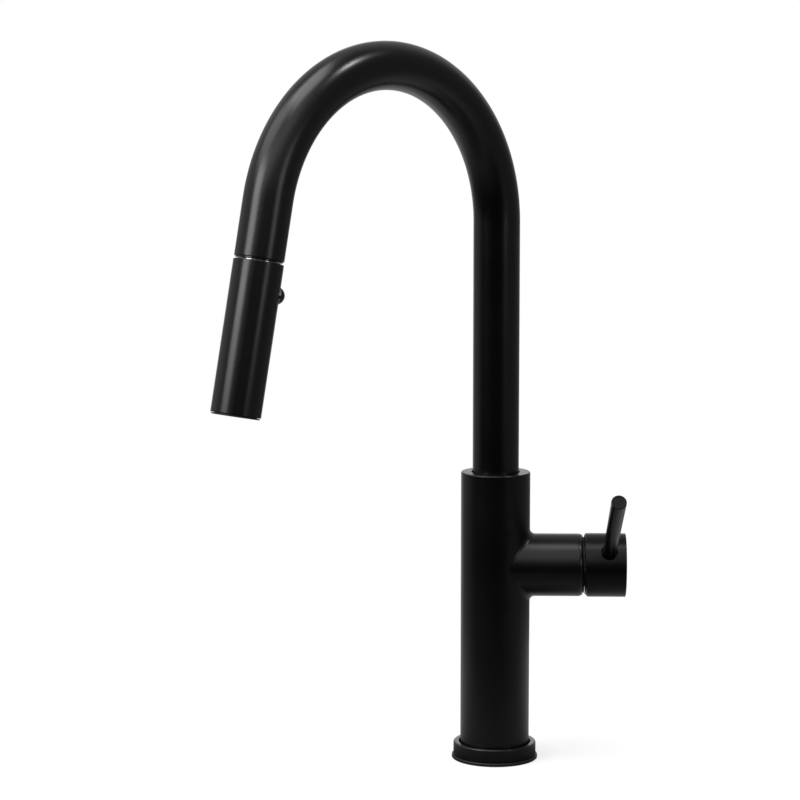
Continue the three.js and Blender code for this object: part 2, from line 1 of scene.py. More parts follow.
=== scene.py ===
"""The visual model of a deck-mounted kitchen mixer with a gooseneck spout and a pull-down spray head.

Metres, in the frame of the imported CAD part: +Z up from the deck, +X out along the side branch to
the handle, -Y to the person using it. Sizes are written in millimetres and multiplied by MM, apart
from the corners of outlines, which are tables of plain millimetres.
"""

import json
import math

import bmesh
import bpy
from mathutils import Matrix, Vector

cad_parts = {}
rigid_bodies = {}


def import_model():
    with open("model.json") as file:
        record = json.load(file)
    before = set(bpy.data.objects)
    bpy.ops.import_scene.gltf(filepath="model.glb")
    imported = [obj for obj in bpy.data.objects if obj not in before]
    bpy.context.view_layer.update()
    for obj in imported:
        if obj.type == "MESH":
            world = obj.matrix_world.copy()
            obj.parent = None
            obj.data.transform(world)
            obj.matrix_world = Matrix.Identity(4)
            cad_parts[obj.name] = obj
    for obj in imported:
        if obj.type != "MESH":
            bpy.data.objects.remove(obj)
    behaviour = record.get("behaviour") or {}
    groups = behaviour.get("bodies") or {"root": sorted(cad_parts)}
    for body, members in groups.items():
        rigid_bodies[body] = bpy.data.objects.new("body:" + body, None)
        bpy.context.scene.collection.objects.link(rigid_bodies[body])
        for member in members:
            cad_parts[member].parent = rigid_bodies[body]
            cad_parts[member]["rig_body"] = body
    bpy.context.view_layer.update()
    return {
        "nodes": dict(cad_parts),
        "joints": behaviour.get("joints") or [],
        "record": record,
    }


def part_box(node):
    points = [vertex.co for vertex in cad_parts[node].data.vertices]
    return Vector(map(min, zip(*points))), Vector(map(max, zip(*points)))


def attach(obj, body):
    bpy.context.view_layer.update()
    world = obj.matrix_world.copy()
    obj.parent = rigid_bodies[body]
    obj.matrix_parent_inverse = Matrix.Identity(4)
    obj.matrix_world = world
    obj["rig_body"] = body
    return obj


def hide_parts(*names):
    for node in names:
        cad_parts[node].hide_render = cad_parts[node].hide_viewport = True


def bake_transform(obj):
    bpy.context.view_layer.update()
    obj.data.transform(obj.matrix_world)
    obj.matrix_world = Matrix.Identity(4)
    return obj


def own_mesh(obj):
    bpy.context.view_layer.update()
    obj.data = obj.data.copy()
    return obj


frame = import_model()

MM = 0.001
TURN = 2 * math.pi

# ---- camera ----

LENS = 118.3                     # millimetres, as is the sensor
SENSOR_WIDTH = 36
CAMERA_PLACE = (-0.0126, -1.5776, 0.4173)
CAMERA_TILT = math.radians(82.89)
CAMERA_PAN = math.radians(1.65)

camera_data = bpy.data.cameras.new("camera")
camera_data.lens = LENS
camera_data.sensor_width = SENSOR_WIDTH
camera = bpy.data.objects.new("camera", camera_data)
camera.location = CAMERA_PLACE
camera.rotation_euler = (CAMERA_TILT, 0, CAMERA_PAN)
bpy.context.scene.collection.objects.link(camera)
bpy.context.scene.camera = camera

# ---- driving dimensions, from the frame where it gives them ----

JOINT = {joint["name"]: joint for joint in frame["joints"]}
SLOT_OF = {part["node"]: part["material_slot"] for part in frame["record"]["subparts"]}

column_low, column_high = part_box("body_shell")
COLUMN_R = -column_low.x
COLUMN_TOP = column_high.z
COLUMN_FOOT = column_low.z
COLUMN_BORE_R = COLUMN_R - 2.5 * MM
COLLAR_HOLE_R = 14.7 * MM
COLLAR_UNDERSIDE = COLUMN_TOP - 4 * MM

BRANCH_END = column_high.x
BRANCH_Z = JOINT["handle_turn"]["pos_m"][2]
BRANCH_R = 19.04 * MM
BRANCH_BORE_R = 16.3 * MM
BRANCH_ROUNDING = 3 * MM
BRANCH_FILLET = 3.2 * MM
BRANCH_LOOP_X = 27 * MM          # of a loop of faces between the branch's fillet and its end
BRANCH_BORE_LOOP = 1 * MM        # from the branch's end in to a loop of faces on its bore

hub_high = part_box("handle_hub")[1]
HUB_R = 19.33 * MM
HUB_BORE_R = 17.4 * MM
HUB_START = BRANCH_END + 1.2 * MM
HUB_BOSS = 60.5 * MM
HUB_BOSS_LOOP_R = 6 * MM         # of a loop of faces on the boss, round the stem's socket
HUB_END = hub_high.x
HUB_LIP = 0.08 * MM              # least width of the edge round the hub's mouth
RELIEF_OFFSET = 1.28 * MM        # the hub's conical relief is turned off centre, towards the lever
RELIEF_R = HUB_R - RELIEF_OFFSET - 0.15 * MM

LEVER_ELEVATION = math.radians(34)
LEVER_LEAN = math.radians(1.7)
LEVER_X = 68 * MM
LEVER_SOCKET_R = 5.1 * MM
LEVER_SOCKET_FLOOR = 15 * MM
STUD_SHARE = 0.65                # of the socket's width, that the hole for the lever's stud has
STUD_FLOOR = 8 * MM
STEM_SOCKET_HALF = 3.3 * MM
STEM_SOCKET_FLOOR = 66.3 * MM
HUB_SCREW_X = 63.6 * MM
HUB_SCREW_HOLE_R = 2.7 * MM
HUB_SCREW_FLOOR = 3.4 * MM

TUBE_R = 14 * MM
TUBE_BORE_R = 12.8 * MM
TUBE_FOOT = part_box("spout_tube")[0].z
ARCH_R = 93.1 * MM
ARCH_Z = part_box("spout_tube")[1].z - ARCH_R - TUBE_R
ARCH_SWEEP = math.radians(168)
TUBE_STRAIGHT = 32.5 * MM
HOSE_R = 7 * MM
HOSE_FOOT = 1 * MM
HOSE_END = 26 * MM
HOSE_PARTING = 0.1 * MM          # between the hose's two pieces, hidden in the spout
HOSE_LOOPS = 13                  # loops of faces from the arch's end to past that length
HOSE_LOOP_PITCH = 1.5            # millimetres

HEAD_R = 14.1 * MM
HEAD_BORE_R = 12.3 * MM
HEAD_TOP = 34.2 * MM             # along the head's axis, from the end of the arch
HEAD_BOTTOM = 119.3 * MM
BUTTON_S = 51 * MM
BUTTON_HOLE_R = 5.3 * MM

SPRING_R = 2.3 * MM
SPRING_WIRE_R = 0.35 * MM
SPRING_SPAN = (-9.8 * MM, -5.7 * MM)      # of its wire's middle, along the button's axis
SPRING_TURNS = 3.5
SPRING_STEPS_PER_TURN = 28
SPRING_WIRE_SIDES = 10

RETAINER_Z = 154 * MM
RETAINER_HOLE_R = 2.7 * MM
MANIFOLD_SCREW_Z = 6.2 * MM
MANIFOLD_SCREW_HOLE_R = 2.0 * MM

FINE = 96                        # columns of faces round a large piece
MEDIUM = 64
SMALL = 40
TUBE_COLUMNS = 72
HOSE_COLUMNS = 32
NOZZLE_COLUMNS = 16
BRANCH_COLUMNS = 22              # columns of faces on each side that the branch's opening takes up
BUTTON_COLUMNS = (-1, 18)        # first and last column that the button's opening takes up
SCREW_ROWS = (1, 5)              # first and last row of the column's openings: its foot is row 0
BRANCH_ROWS = (6, 18)
RETAINER_ROWS = (19, 25)
FILLET_STEPS = 8
BRANCH_END_STEPS = 8
SUPPORT = 0.05 * MM              # how close a flat face's last loop lies to its rounded edge
SHARP = math.radians(35)
ROUNDING_STEP = math.radians(18)  # about, between two points of a rounded corner
LOOPS = 6                        # loops of faces round an opening in a wall
LOOP_CROWDING = 0.6              # below 1, the loops lie closer together towards the opening


# ---- placing ----

def placement(origin, x_axis, z_axis):
    """A frame with this origin and Z, and with its X as near to x_axis as Z allows."""
    z = Vector(z_axis).normalized()
    x = Vector(x_axis)
    x = (x - x.dot(z) * z).normalized()
    y = z.cross(x)
    matrix = Matrix((x, y, z)).transposed().to_4x4()
    matrix.translation = origin
    return matrix


UPRIGHT = Matrix.Identity(4)
UP = Vector((0, 0, 1))

head_axis = Vector(JOINT["head_spin"]["axis"])
arch_end = Vector(JOINT["head_spin"]["pos_m"])
away = Vector((head_axis.x, head_axis.y, 0)).normalized()
SPOUT = placement((0, 0, 0), away, UP)
HEAD = placement(arch_end, -away, head_axis)
BUTTON = placement(arch_end + BUTTON_S * head_axis, head_axis, -Vector(JOINT["button_press"]["axis"]))

lever_way = Vector((0, -math.cos(LEVER_ELEVATION), math.sin(LEVER_ELEVATION)))
BRANCH = placement((0, 0, BRANCH_Z), lever_way, (1, 0, 0))
lever_axis = lever_way * math.cos(LEVER_LEAN) + Vector((math.sin(LEVER_LEAN), 0, 0))
LEVER = placement((LEVER_X, 0, BRANCH_Z), (1, 0, 0), lever_axis)
HUB_SCREW = placement((HUB_SCREW_X, 0, BRANCH_Z), (1, 0, 0), -lever_way)
RETAINER = placement((0, 0, RETAINER_Z), (0, 0, 1), (0, 1, 0))


# ---- mesh making ----

class Skin:
    """Rings of points and the faces between them."""

    def __init__(self):
        self.points = []
        self.faces = []

    def ring(self, points):
        start = len(self.points)
        self.points.extend(points)
        return list(range(start, len(self.points)))

    def span(self, first, second):
        """Quads between two closed rings of the same number of points."""
        count = len(first)
        for i in range(count):
            j = (i + 1) % count
            self.faces.append((first[i], first[j], second[j], second[i]))

    def chain(self, rings, closed=False):
        for first, second in zip(rings, rings[1:]):
            self.span(first, second)
        if closed:
            self.span(rings[-1], rings[0])

    def lid(self, ring):
        """Closes a ring with triangles to its middle."""
        middle = sum((self.points[i] for i in ring), Vector()) / len(ring)
        self.points.append(middle)
        tip = len(self.points) - 1
        count = len(ring)
        for i in range(count):
            self.faces.append((ring[i], ring[(i + 1) % count], tip))

    def capped(self, rings):
        """A solid through a row of rings, closed at both ends."""
        self.chain(rings)
        self.lid(rings[0])
        self.lid(rings[-1])


def polar(radius, angle, height):
    return Vector((radius * math.cos(angle), radius * math.sin(angle), height))


def rounded(corners, closed):
    """An outline through (radius, height, rounding) corners, in millimetres, with its roundings as arcs."""
    outline = []
    count = len(corners)
    for i, (radius, height, rounding) in enumerate(corners):
        here = Vector((radius, height)) * MM
        if rounding == 0 or (not closed and i in (0, count - 1)):
            outline.append(here)
            continue
        before = (Vector(corners[i - 1][:2]) * MM - here).normalized()
        after = (Vector(corners[(i + 1) % count][:2]) * MM - here).normalized()
        half = before.angle(after) / 2
        reach = rounding * MM / math.tan(half)
        centre = here + (before + after).normalized() * rounding * MM / math.sin(half)
        start = here + before * reach - centre
        end = here + after * reach - centre
        outline.append(centre + start + before * SUPPORT)
        steps = max(2, round((math.pi - 2 * half) / ROUNDING_STEP))
        sweep = start.angle_signed(end)
        for k in range(steps + 1):
            turn = Matrix.Rotation(-sweep * k / steps, 2)
            outline.append(centre + turn @ start)
        outline.append(centre + end + after * SUPPORT)
    return outline


def circle_points(place, radius, height, segments):
    return [place @ polar(radius, TURN * i / segments, height) for i in range(segments)]


def turned(skin, place, corners, segments=MEDIUM):
    """Adds a solid of revolution: a ring, or a solid one if its outline starts and ends on the axis."""
    on_axis = corners[0][0] == 0 and corners[-1][0] == 0
    outline = rounded(corners, not on_axis)
    inner = outline[1:-1] if on_axis else outline
    rings = [skin.ring(circle_points(place, p.x, p.y, segments)) for p in inner]
    if on_axis:
        skin.capped(rings)
    else:
        skin.chain(rings, closed=True)
    return skin


def cylinder_point(place, radius):
    """Gives the point of a cylinder about the place's Z at an angle and a height."""
    def at(angle, height):
        return place @ polar(radius, angle, height)
    return at


def wall(skin, at, columns, rows, openings):
    """A cylinder wall of a grid of faces, with each opening ringed by its own faces.

    rows are heights, or functions of the angle. An opening is (first column, last column, first row,
    last row, outline), where outline gives the edge's angle and height at a direction from its middle.
    Returns the first ring, the last ring and each opening's ring with its directions.
    """
    def height(row, angle):
        return rows[row](angle) if callable(rows[row]) else rows[row]

    angles = [TURN * i / columns for i in range(columns)]
    inside = set()
    skipped = set()
    for left, right, low, high, _ in openings:
        for j in range(low, high):
            for i in range(left, right):
                skipped.add((i % columns, j))
                if i > left and j > low:
                    inside.add((i % columns, j))
    grid = {}
    for j in range(len(rows)):
        for i, angle in enumerate(angles):
            if (i, j) not in inside:
                grid[i, j] = len(skin.points)
                skin.points.append(at(angle, height(j, angle)))
    for j in range(len(rows) - 1):
        for i in range(columns):
            if (i, j) not in skipped:
                k = (i + 1) % columns
                skin.faces.append((grid[i, j], grid[k, j], grid[k, j + 1], grid[i, j + 1]))

    edges = []
    for left, right, low, high, outline in openings:
        border = [(i, low) for i in range(left, right)] + [(right, j) for j in range(low, high)]
        border += [(i, high) for i in range(right, left, -1)] + [(left, j) for j in range(high, low, -1)]
        middle_angle = TURN * (left + right) / 2 / columns
        half_angle = TURN * (right - left) / 2 / columns
        middle = (height(low, middle_angle) + height(high, middle_angle)) / 2
        half_height = height(high, middle_angle) - middle
        directions = []
        loops = [[] for _ in range(LOOPS)]
        for i, j in border:
            angle = TURN * i / columns
            level = height(j, angle)
            direction = math.atan2((level - middle) / half_height, (angle - middle_angle) / half_angle)
            directions.append(direction)
            edge_angle, edge_level = outline(direction)
            edge_angle += TURN * round((angle - edge_angle) / TURN)
            for k in range(LOOPS):
                share = ((k + 1) / LOOPS) ** LOOP_CROWDING
                loops[k].append(at(
                    angle + (edge_angle - angle) * share,
                    level + (edge_level - level) * share,
                ))
        border_ring = [grid[i % columns, j] for i, j in border]
        rings = [border_ring] + [skin.ring(loop) for loop in loops]
        skin.chain(rings)
        edges.append((rings[-1], directions))
    first = [grid[i, 0] for i in range(columns)]
    last = [grid[i, len(rows) - 1] for i in range(columns)]
    return first, last, edges


def bore_outline(radius, place, drill, drill_r):
    """The edge that a straight bore leaves on a cylinder, for wall().

    place is the cylinder's frame, and drill the bore's.
    """
    to_wall = place.inverted() @ drill
    origin = to_wall.translation
    axis = to_wall.to_3x3() @ Vector((0, 0, 1))
    side = Vector((0, 0, 1)).cross(axis).normalized()
    up = axis.cross(side)
    up = up if up.z > 0 else -up

    def outline(direction):
        start = origin + drill_r * (side * math.cos(direction) + up * math.sin(direction))
        flat_start = Vector((start.x, start.y))
        flat_axis = Vector((axis.x, axis.y))
        a = flat_axis.dot(flat_axis)
        b = flat_start.dot(flat_axis)
        c = flat_start.dot(flat_start) - radius * radius
        point = start + axis * (-b + math.sqrt(b * b - a * c)) / a
        return math.atan2(point.y, point.x), point.z

    return outline


def sunk(skin, ring, drill, depth):
    """A ring's copy, moved along a drill's axis to a height in the drill's frame."""
    axis = drill.to_3x3() @ Vector((0, 0, 1))
    points = []
    for i in ring:
        point = skin.points[i]
        points.append(point + axis * (depth - (point - drill.translation).dot(axis)))
    return skin.ring(points)


def edge_rings(skin, place, corners):
    """The rings between the ends of an open outline, which belong to walls on either side."""
    return [skin.ring(circle_points(place, p.x, p.y, FINE)) for p in rounded(corners, False)[1:-1]]


def levels(middle, pitch, reach):
    """Heights of the rows of faces at an opening: this many on each side of its middle."""
    return [middle + pitch * k for k in range(-reach, reach + 1)]


# ---- the gooseneck's path ----

ARCH_LENGTH = ARCH_R * ARCH_SWEEP
ARCH_STEP = math.radians(1.5)


def along_gooseneck(s):
    """The point and the direction at a distance s past the foot of the arch, in the spout's frame."""
    a = min(max(s / ARCH_R, 0), ARCH_SWEEP)
    point = Vector((ARCH_R * (1 - math.cos(a)), 0, ARCH_Z + ARCH_R * math.sin(a)))
    way = Vector((math.sin(a), 0, math.cos(a)))
    return point + way * (s - a * ARCH_R), way


def swept(skin, corners, segments, closed):
    """Carries an outline of (radius, distance, rounding), in millimetres, along the gooseneck."""
    outline = rounded(corners, closed)
    pairs = list(zip(outline, outline[1:] + outline[:1])) if closed else list(zip(outline, outline[1:]))
    steps = [ARCH_R * ARCH_STEP * k for k in range(round(ARCH_SWEEP / ARCH_STEP) + 1)]
    stops = []
    for p, q in pairs:
        stops.append((p.x, p.y))
        between = [s for s in steps if min(p.y, q.y) + SUPPORT < s < max(p.y, q.y) - SUPPORT]
        between.sort(reverse=q.y < p.y)
        for s in between:
            stops.append((p.x + (q.x - p.x) * (s - p.y) / (q.y - p.y), s))
    if not closed:
        stops = stops[1:]
    rings = []
    for radius, s in stops:
        point, way = along_gooseneck(s)
        side = Vector((0, 1, 0))
        across = side.cross(way)
        ring = []
        for i in range(segments):
            a = TURN * i / segments
            ring.append(SPOUT @ (point + radius * (across * math.cos(a) + side * math.sin(a))))
        rings.append(skin.ring(ring))
    if closed:
        skin.chain(rings, closed=True)
    else:
        skin.capped(rings)
    return skin


# ---- materials ----

def node_tree(name):
    material = bpy.data.materials.new(name)
    material.use_nodes = True
    nodes = material.node_tree.nodes
    shader = nodes["Principled BSDF"]
    place = nodes.new("ShaderNodeTexCoord")
    return material, nodes, material.node_tree.links, shader, place.outputs["Object"]


def noise(nodes, links, where, scale, detail):
    texture = nodes.new("ShaderNodeTexNoise")
    texture.inputs["Scale"].default_value = scale
    texture.inputs["Detail"].default_value = detail
    links.new(where, texture.inputs["Vector"])
    return texture.outputs["Fac"]


def remapped(nodes, links, value, low, high, from_low=0.3, from_high=0.7):
    mapping = nodes.new("ShaderNodeMapRange")
    mapping.inputs["From Min"].default_value = from_low
    mapping.inputs["From Max"].default_value = from_high
    mapping.inputs["To Min"].default_value = low
    mapping.inputs["To Max"].default_value = high
    links.new(value, mapping.inputs["Value"])
    return mapping.outputs["Result"]


def mixed(nodes, links, factor, first, second):
    mix = nodes.new("ShaderNodeMix")
    mix.data_type = "RGBA"
    mix.inputs["A"].default_value = (*first, 1)
    mix.inputs["B"].default_value = (*second, 1)
    links.new(factor, mix.inputs["Factor"])
    return mix.outputs["Result"]


def bumped(nodes, links, heights, shader):
    """Chains bumps of (height, strength, distance in metres) into the shader's normal."""
    normal = None
    for height, strength, distance in heights:
        bump = nodes.new("ShaderNodeBump")
        bump.inputs["Strength"].default_value = strength
        bump.inputs["Distance"].default_value = distance
        links.new(height, bump.inputs["Height"])
        if normal is not None:
            links.new(normal, bump.inputs["Normal"])
        normal = bump.outputs["Normal"]
    links.new(normal, shader.inputs["Normal"])


def shade(color, factor):
    return tuple(channel * factor for channel in color)


def coated_metal(name, color, roughness, specular, grain):
    """Powder-coated metal: a fine pebbled grain, a slow change of sheen and a few paler specks of dust."""
    material, nodes, links, shader, where = node_tree(name)
    slow = noise(nodes, links, where, 22, 2)
    fine = noise(nodes, links, where, 2600, 2)
    pebble = noise(nodes, links, where, 900, 2)
    base = mixed(nodes, links, slow, shade(color, 0.75), shade(color, 1.35))
    speck = remapped(nodes, links, noise(nodes, links, where, 1700, 1), 0, 0.3, 0.78, 0.86)
    dusty = nodes.new("ShaderNodeMix")
    dusty.data_type = "RGBA"
    dusty.inputs["B"].default_value = (0.03, 0.03, 0.031, 1)
    links.new(speck, dusty.inputs["Factor"])
    links.new(base, dusty.inputs["A"])
    links.new(dusty.outputs["Result"], shader.inputs["Base Color"])
    sheen = remapped(nodes, links, slow, roughness - 0.025, roughness + 0.03)
    links.new(sheen, shader.inputs["Roughness"])
    shader.inputs["Specular IOR Level"].default_value = specular
    bumped(nodes, links, [(fine, 0.18, 0.00002 * grain), (pebble, 0.25, 0.00003 * grain)], shader)
    return material


def bare_metal(name, color, roughness, stain):
    """Machined or polished metal with fine tool marks and a little tarnish."""
    material, nodes, links, shader, where = node_tree(name)
    slow = noise(nodes, links, where, 120, 4)
    marks = noise(nodes, links, where, 3200, 2)
    links.new(mixed(nodes, links, slow, shade(color, 1 - stain), color), shader.inputs["Base Color"])
    links.new(remapped(nodes, links, marks, roughness * 0.8, roughness * 1.3), shader.inputs["Roughness"])
    shader.inputs["Metallic"].default_value = 1
    bumped(nodes, links, [(marks, 0.15, 0.00002)], shader)
    return material


def moulded(name, color, roughness, specular, grain):
    """Moulded plastic, ceramic or rubber with a spark-eroded grain and a faint flow pattern."""
    material, nodes, links, shader, where = node_tree(name)
    slow = noise(nodes, links, where, 60, 3)
    fine = noise(nodes, links, where, 2000, 2)
    links.new(mixed(nodes, links, slow, shade(color, 0.88), shade(color, 1.1)), shader.inputs["Base Color"])
    links.new(remapped(nodes, links, fine, roughness - 0.04, roughness + 0.05), shader.inputs["Roughness"])
    shader.inputs["Specular IOR Level"].default_value = specular
    bumped(nodes, links, [(fine, 0.2, 0.00002 * grain)], shader)
    return material


def braided(name, color):
    """A braided nylon sleeve: small raised strands that read the same however the hose is turned, with
    painted shade in the gaps between them and a painted highlight on their tops.
    """
    material, nodes, links, shader, where = node_tree(name)
    strands = nodes.new("ShaderNodeTexVoronoi")
    strands.inputs["Scale"].default_value = 1100
    links.new(where, strands.inputs["Vector"])
    height = remapped(nodes, links, strands.outputs["Distance"], 1, 0, 0.1, 0.75)
    thread = noise(nodes, links, where, 5200, 2)
    # painted shade and painted highlight: the colour follows the strands' height, darker in the gaps between
    # them and lighter on their tops
    links.new(mixed(nodes, links, height, shade(color, 0.35), shade(color, 1.8)), shader.inputs["Base Color"])
    links.new(remapped(nodes, links, thread, 0.5, 0.7), shader.inputs["Roughness"])
    bumped(nodes, links, [(height, 0.7, 0.0003), (thread, 0.3, 0.00005)], shader)
    return material


MATERIALS = {
    "matte_black": coated_metal("matte_black", (0.0014, 0.0014, 0.0015), 0.26, 0.42, 1.0),
    "column_black": coated_metal("column_black", (0.0014, 0.0014, 0.0015), 0.29, 0.36, 1.3),
    # handle_black is matte_black's coat with weaker specular and a little more roughness: the weaker specular
    # is painted shade, for the lesser light that reaches the handle
    "handle_black": coated_metal("handle_black", (0.0014, 0.0014, 0.0015), 0.3, 0.22, 1.0),
    "polished_trim": bare_metal("polished_trim", (0.3, 0.305, 0.315), 0.12, 0.08),
    "steel": bare_metal("steel", (0.42, 0.42, 0.43), 0.3, 0.2),
    "brass": bare_metal("brass", (0.5, 0.34, 0.12), 0.28, 0.3),
    "magnet": bare_metal("magnet", (0.1, 0.1, 0.105), 0.42, 0.2),
    "ceramic": moulded("ceramic", (0.79, 0.76, 0.7), 0.14, 0.5, 0.2),
    "pale_plastic": moulded("pale_plastic", (0.68, 0.67, 0.62), 0.42, 0.5, 1.0),
    "black_plastic": moulded("black_plastic", (0.007, 0.007, 0.0075), 0.45, 0.4, 1.5),
    "gloss_black_plastic": moulded("gloss_black_plastic", (0.006, 0.006, 0.0065), 0.2, 0.5, 0.4),
    "gasket_rubber": moulded("gasket_rubber", (0.006, 0.006, 0.006), 0.5, 0.45, 2.0),
    "seal_rubber": moulded("seal_rubber", (0.02, 0.02, 0.02), 0.55, 0.4, 1.5),
    "nozzle_rubber": moulded("nozzle_rubber", (0.03, 0.03, 0.031), 0.5, 0.45, 1.5),
    "braided_hose": braided("braided_hose", (0.02, 0.02, 0.021)),
}


# ---- showing pieces ----

def show(name, skin, *nodes):
    """Makes a piece that stands for CAD nodes and takes the first one's finish."""
    mesh = bpy.data.meshes.new(name)
    mesh.from_pydata(skin.points, [], skin.faces)
    piece = bpy.data.objects.new(name, mesh)
    bpy.context.scene.collection.objects.link(piece)
    outward = bmesh.new()        # an operator would turn the faces of the selected CAD meshes too
    outward.from_mesh(mesh)
    bmesh.ops.recalc_face_normals(outward, faces=outward.faces)
    outward.to_mesh(mesh)
    outward.free()
    mesh.shade_smooth()
    mesh.set_sharp_from_angle(angle=SHARP)
    slot = SLOT_OF[nodes[0]]
    mesh.materials.append(MATERIALS[slot])
    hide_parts(*nodes)
    return piece


def show_riding(name, skin, *nodes):
    """A piece that also rides on the body of the first node it stands for."""
    piece = show(name, skin, *nodes)
    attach(piece, frame["nodes"][nodes[0]]["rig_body"])
    return piece


def turned_piece(name, node, place, corners, segments=MEDIUM):
    show_riding(name, turned(Skin(), place, corners, segments), node)


# ---- base and column ----

turned_piece("deck_gasket", "base_gasket", UPRIGHT, [
    (17, 0, 0.3), (26.2, 0, 0.4), (26.2, 2, 0.5), (17, 2, 0.3),
], FINE)
turned_piece("escutcheon_ring", "base_ring", UPRIGHT, [
    (21.9, 2.3, 0.2), (25.2, 2.3, 0.35), (25.2, 10.2, 0.9), (21.9, 10.2, 0.4),
], FINE)


def branch_point(x, radius, direction):
    return Vector((x, radius * math.cos(direction), BRANCH_Z + radius * math.sin(direction)))


def fillet_centre(direction):
    """The middle of a ball that rolls along the corner between the column and the branch."""
    reach = BRANCH_R + BRANCH_FILLET
    sideways = reach * math.cos(direction)
    return branch_point(math.sqrt((COLUMN_R + BRANCH_FILLET) ** 2 - sideways ** 2), reach, direction)


def touching_column(centre):
    share = COLUMN_R / (COLUMN_R + BRANCH_FILLET)
    return Vector((centre.x * share, centre.y * share, centre.z))


def fillet_outline(direction):
    point = touching_column(fillet_centre(direction))
    return math.atan2(point.y, point.x), point.z


def branch_bore_outline(direction):
    sideways = BRANCH_BORE_R * math.cos(direction)
    return math.asin(sideways / COLUMN_BORE_R), BRANCH_Z + BRANCH_BORE_R * math.sin(direction)


def column_openings(radius, branch_outline):
    retainer = bore_outline(radius, UPRIGHT, RETAINER, RETAINER_HOLE_R)
    screws = []
    for way in (1, -1):
        drill = placement((0, 0, MANIFOLD_SCREW_Z), (0, 0, 1), (0, way, 0))
        screws.append(bore_outline(radius, UPRIGHT, drill, MANIFOLD_SCREW_HOLE_R))
    quarter = FINE // 4
    return [
        (-BRANCH_COLUMNS, BRANCH_COLUMNS, *BRANCH_ROWS, branch_outline),
        (quarter - 4, quarter + 4, *RETAINER_ROWS, retainer),
        (quarter - 3, quarter + 3, *SCREW_ROWS, screws[0]),
        (3 * quarter - 3, 3 * quarter + 3, *SCREW_ROWS, screws[1]),
    ]


skin = Skin()
rows = levels(MANIFOLD_SCREW_Z, 1.6 * MM, 2) + levels(BRANCH_Z, 4.4 * MM, 6)
rows += levels(RETAINER_Z, 1.5 * MM, 3)
outer = wall(
    skin, cylinder_point(UPRIGHT, COLUMN_R), FINE,
    [COLUMN_FOOT, *rows, COLUMN_TOP - 1 * MM],
    column_openings(COLUMN_R, fillet_outline),
)
inner = wall(
    skin, cylinder_point(UPRIGHT, COLUMN_BORE_R), FINE,
    [COLUMN_FOOT, *rows, COLLAR_UNDERSIDE],
    column_openings(COLUMN_BORE_R, branch_bore_outline),
)
skin.span(outer[0], inner[0])
collar = edge_rings(skin, UPRIGHT, [
    (COLUMN_R / MM, COLUMN_TOP / MM - 1, 0),
    (COLUMN_R / MM, COLUMN_TOP / MM, 0.7),
    (COLLAR_HOLE_R / MM, COLUMN_TOP / MM, 0.3),
    (COLLAR_HOLE_R / MM, COLLAR_UNDERSIDE / MM, 0.3),
    (COLUMN_BORE_R / MM, COLLAR_UNDERSIDE / MM, 0),
])
skin.chain([outer[1], *collar, inner[1]])
for (outer_edge, _), (inner_edge, _) in zip(outer[2][1:], inner[2][1:]):
    skin.span(outer_edge, inner_edge)

fillet_ring, directions = outer[2][0]
branch_rings = [fillet_ring]
for step in range(1, FILLET_STEPS + 1):
    ring = []
    for direction in directions:
        centre = fillet_centre(direction)
        on_column = (touching_column(centre) - centre).normalized()
        on_branch = (branch_point(centre.x, BRANCH_R, direction) - centre).normalized()
        ring.append(centre + BRANCH_FILLET * on_column.slerp(on_branch, step / FILLET_STEPS))
    branch_rings.append(skin.ring(ring))
for x in (BRANCH_LOOP_X, BRANCH_END - BRANCH_ROUNDING - SUPPORT):
    branch_rings.append(skin.ring([branch_point(x, BRANCH_R, d) for d in directions]))
for step in range(BRANCH_END_STEPS + 1):
    a = math.radians(90) * step / BRANCH_END_STEPS
    x = BRANCH_END - BRANCH_ROUNDING * (1 - math.sin(a))
    radius = BRANCH_R - BRANCH_ROUNDING * (1 - math.cos(a)) / 2
    branch_rings.append(skin.ring([branch_point(x, radius, d) for d in directions]))
bore_ring, bore_directions = inner[2][0]
for x in (BRANCH_END, BRANCH_END - BRANCH_BORE_LOOP):
    branch_rings.append(skin.ring([branch_point(x, BRANCH_BORE_R, d) for d in bore_directions]))
skin.chain([*branch_rings, bore_ring])
show_riding("column_shell", skin, "body_shell")

turned_piece("cartridge_bonnet", "bonnet_ring", BRANCH, [
    (13.4, 48.8, 0.2), (16, 48.8, 0.2), (16, 53.2, 0), (17, 53.2, 0.1), (17, 53.8, 0.2), (13.4, 53.8, 0.2),
], FINE)


# ---- handle ----

def relief_radius(angle, height):
    """The off-centre relief cone's distance from the hub's axis."""
    sideways = RELIEF_OFFSET * math.sin(angle)
    cone = RELIEF_R + height - HUB_START
    return RELIEF_OFFSET * math.cos(angle) + math.sqrt(cone ** 2 - sideways ** 2)


def relief_height(angle, radius):
    squared = radius ** 2 - 2 * radius * RELIEF_OFFSET * math.cos(angle) + RELIEF_OFFSET ** 2
    return HUB_START + math.sqrt(squared) - RELIEF_R


def hub_ring(skin, point_at):
    return skin.ring([BRANCH @ point_at(TURN * i / FINE) for i in range(FINE)])


def hub_lip(angle):
    height = max(HUB_START, relief_height(angle, HUB_BORE_R + HUB_LIP))
    return polar(relief_radius(angle, height), angle, height)


def hub_mouth(angle):
    return polar(HUB_BORE_R, angle, max(HUB_START, relief_height(angle, HUB_BORE_R)))


def square_point(half, angle, height):
    reach = half / max(abs(math.cos(angle)), abs(math.sin(angle)))
    return polar(reach, angle, height)


